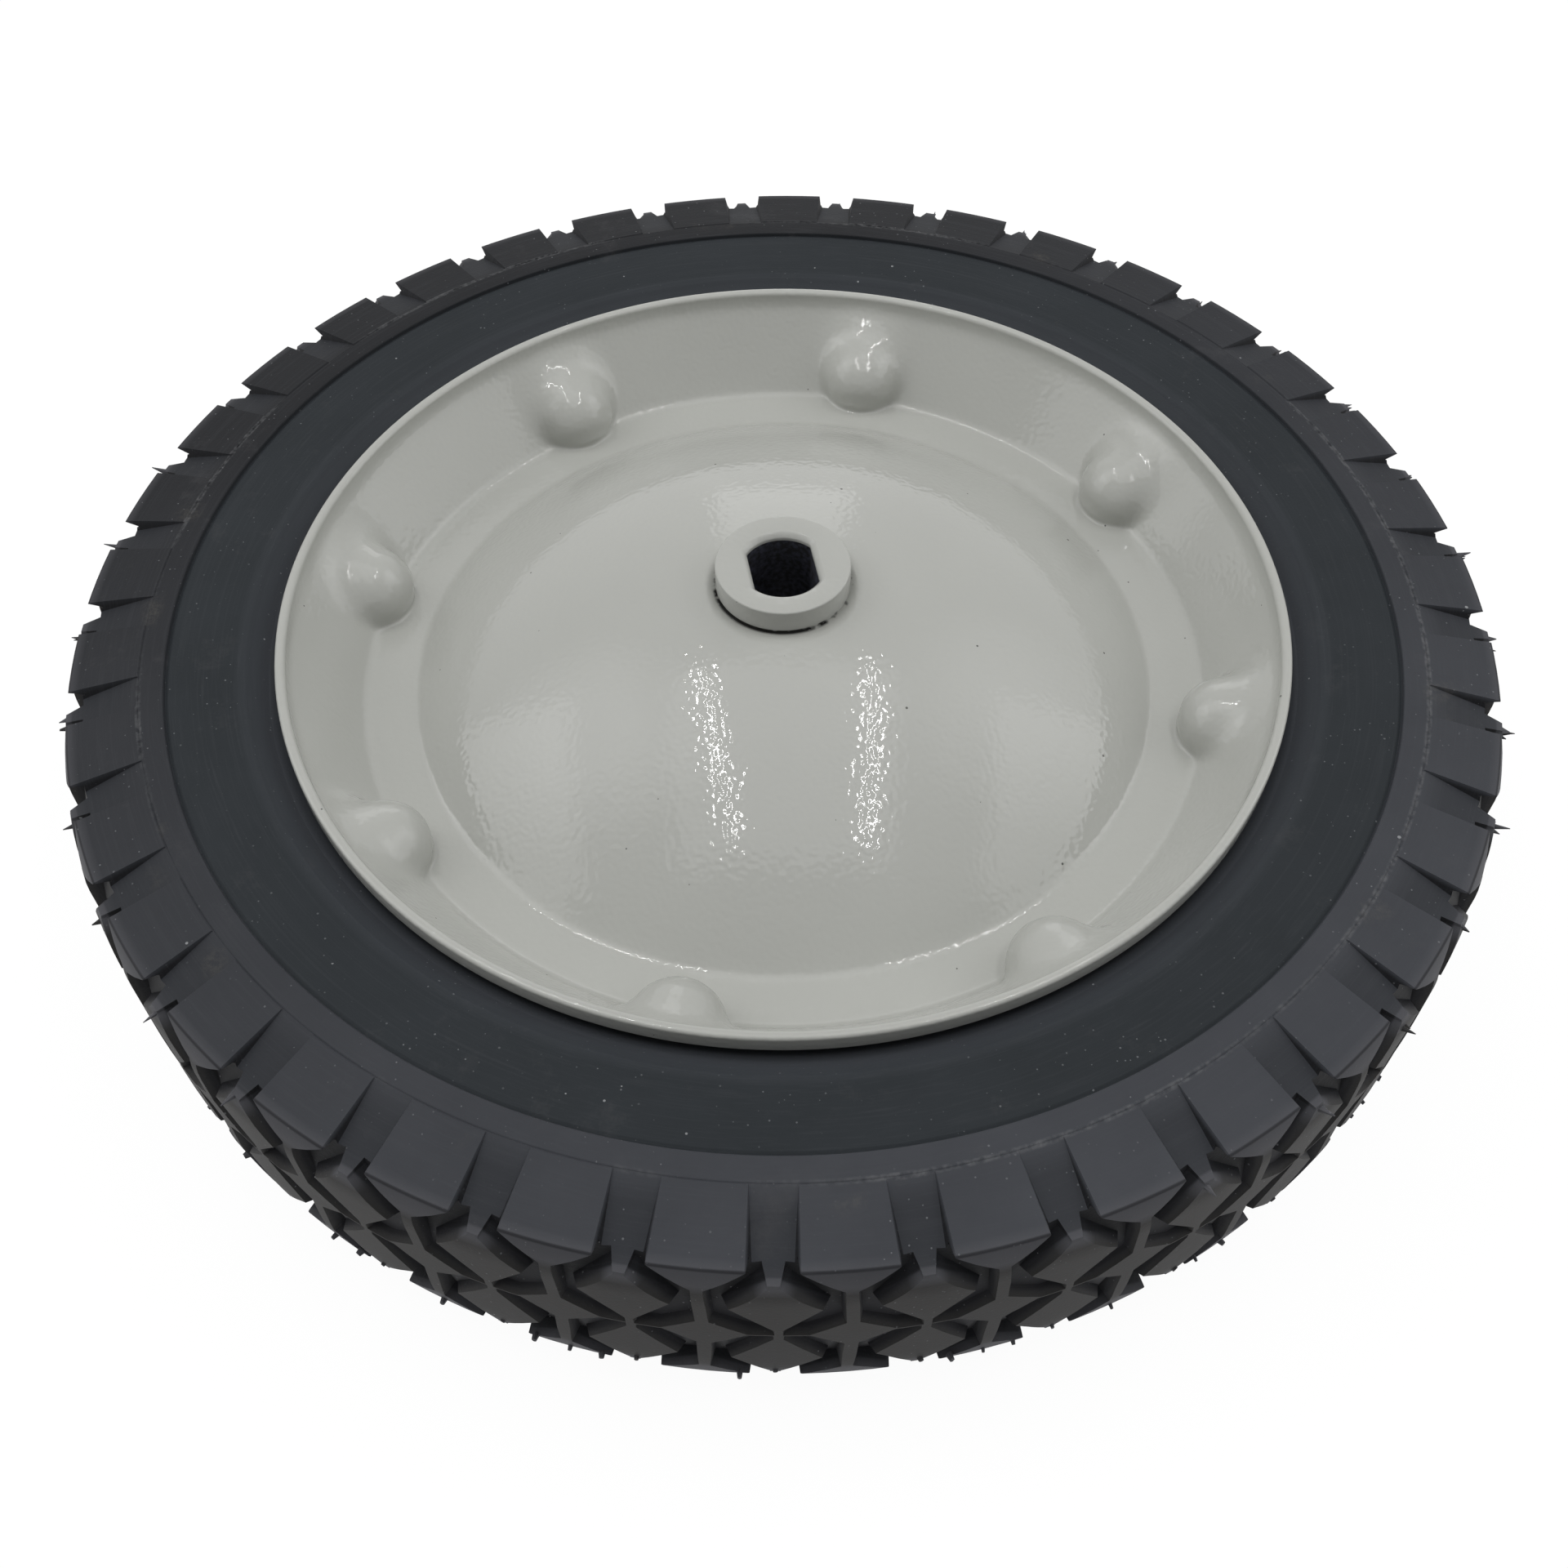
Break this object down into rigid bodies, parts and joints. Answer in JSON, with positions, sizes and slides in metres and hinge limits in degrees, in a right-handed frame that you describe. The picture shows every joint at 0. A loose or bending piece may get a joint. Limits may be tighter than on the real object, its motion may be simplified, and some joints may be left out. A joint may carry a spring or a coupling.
{
  "type": "lawn mower wheel",
  "caption": "Pressed steel disc wheel with a domed dish, half-round wall dimples, a keyed hub tube and a rubber tyre with a diamond tread and slotted shoulders.",
  "frame": {"origin": "centre of the wheel, on the axle line at the tyre's parting plane", "axes": "+Z along the axle out of the outer disc, +X square to the two flats of the bore"},
  "size_m": [0.2802, 0.2802, 0.0628],
  "materials": {
    "tyre_rubber": "moulded black rubber, matte, slightly dusty",
    "enamelled_steel": "gloss light grey enamel on pressed steel, fine orange peel",
    "enamelled_hub": "gloss light grey enamel on a steel tube, bare dark bore"
  },
  "bodies": {
    "root": {"tyre": "tyre_rubber", "outer_rim_disc": "enamelled_steel", "inner_rim_disc": "enamelled_steel", "hub": "enamelled_hub"}
  },
  "joints": []
}
